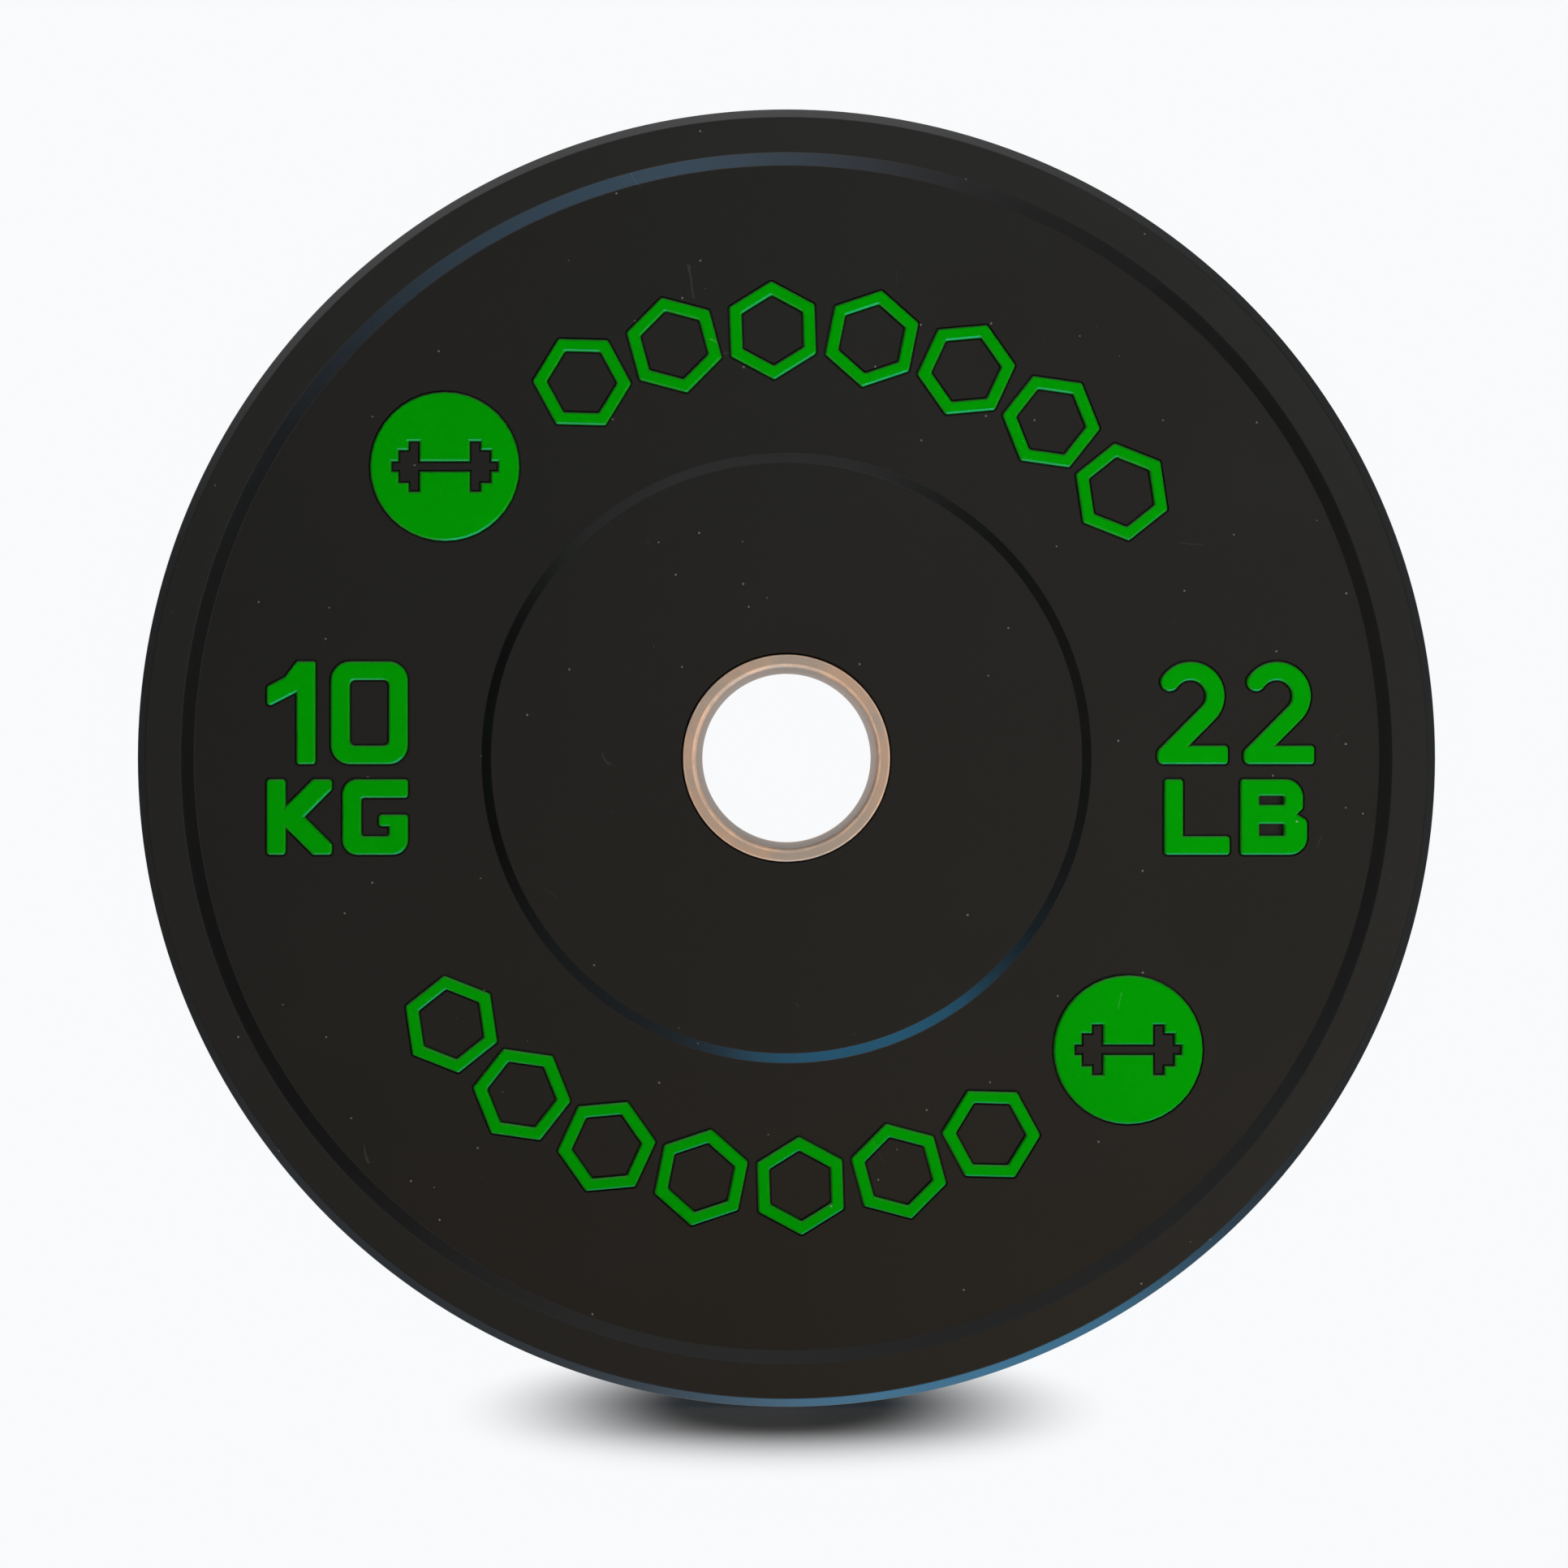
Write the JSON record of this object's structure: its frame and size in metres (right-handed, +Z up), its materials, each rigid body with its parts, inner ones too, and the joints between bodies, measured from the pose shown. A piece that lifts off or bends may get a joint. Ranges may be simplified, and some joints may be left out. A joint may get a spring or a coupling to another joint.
{
  "type": "olympic weight plate",
  "caption": "Thick round rubber weight plate with a steel-lined bore, a raised hub and rim, and green weight markings let into both faces.",
  "frame": {"origin": "centre of the bore at mid-thickness", "axes": "+Y along the bore, from the front face to the back face; +Z up from the tread that the plate stands on; +X to the right as the front face is seen"},
  "size_m": [0.3676, 0.0674, 0.3676],
  "materials": {
    "black_rubber": "matt moulded rubber",
    "green_rubber": "satin coloured rubber",
    "bore_steel": "satin turned steel with a warm tint",
    "flange_steel": "plain steel, hidden in the rubber"
  },
  "bodies": {
    "root": {"rubber_body": "black_rubber", "bore_sleeve": "bore_steel", "anchor_flange": "flange_steel", "front_digit_1": "green_rubber", "front_digit_0": "green_rubber", "front_letter_k": "green_rubber", "front_letter_g": "green_rubber", "front_digit_2_left": "green_rubber", "front_digit_2_right": "green_rubber", "front_letter_l": "green_rubber", "front_letter_b": "green_rubber", "front_badge_upper": "green_rubber", "front_badge_lower": "green_rubber", "front_upper_hexagon_1": "green_rubber", "front_upper_hexagon_2": "green_rubber", "front_upper_hexagon_3": "green_rubber", "front_upper_hexagon_4": "green_rubber", "front_upper_hexagon_5": "green_rubber", "front_upper_hexagon_6": "green_rubber", "front_upper_hexagon_7": "green_rubber", "front_lower_hexagon_1": "green_rubber", "front_lower_hexagon_2": "green_rubber", "front_lower_hexagon_3": "green_rubber", "front_lower_hexagon_4": "green_rubber", "front_lower_hexagon_5": "green_rubber", "front_lower_hexagon_6": "green_rubber", "front_lower_hexagon_7": "green_rubber", "back_digit_1": "green_rubber", "back_digit_0": "green_rubber", "back_letter_k": "green_rubber", "back_letter_g": "green_rubber", "back_digit_2_left": "green_rubber", "back_digit_2_right": "green_rubber", "back_letter_l": "green_rubber", "back_letter_b": "green_rubber", "back_badge_upper": "green_rubber", "back_badge_lower": "green_rubber", "back_upper_hexagon_1": "green_rubber", "back_upper_hexagon_2": "green_rubber", "back_upper_hexagon_3": "green_rubber", "back_upper_hexagon_4": "green_rubber", "back_upper_hexagon_5": "green_rubber", "back_upper_hexagon_6": "green_rubber", "back_upper_hexagon_7": "green_rubber", "back_lower_hexagon_1": "green_rubber", "back_lower_hexagon_2": "green_rubber", "back_lower_hexagon_3": "green_rubber", "back_lower_hexagon_4": "green_rubber", "back_lower_hexagon_5": "green_rubber", "back_lower_hexagon_6": "green_rubber", "back_lower_hexagon_7": "green_rubber"}
  },
  "joints": []
}
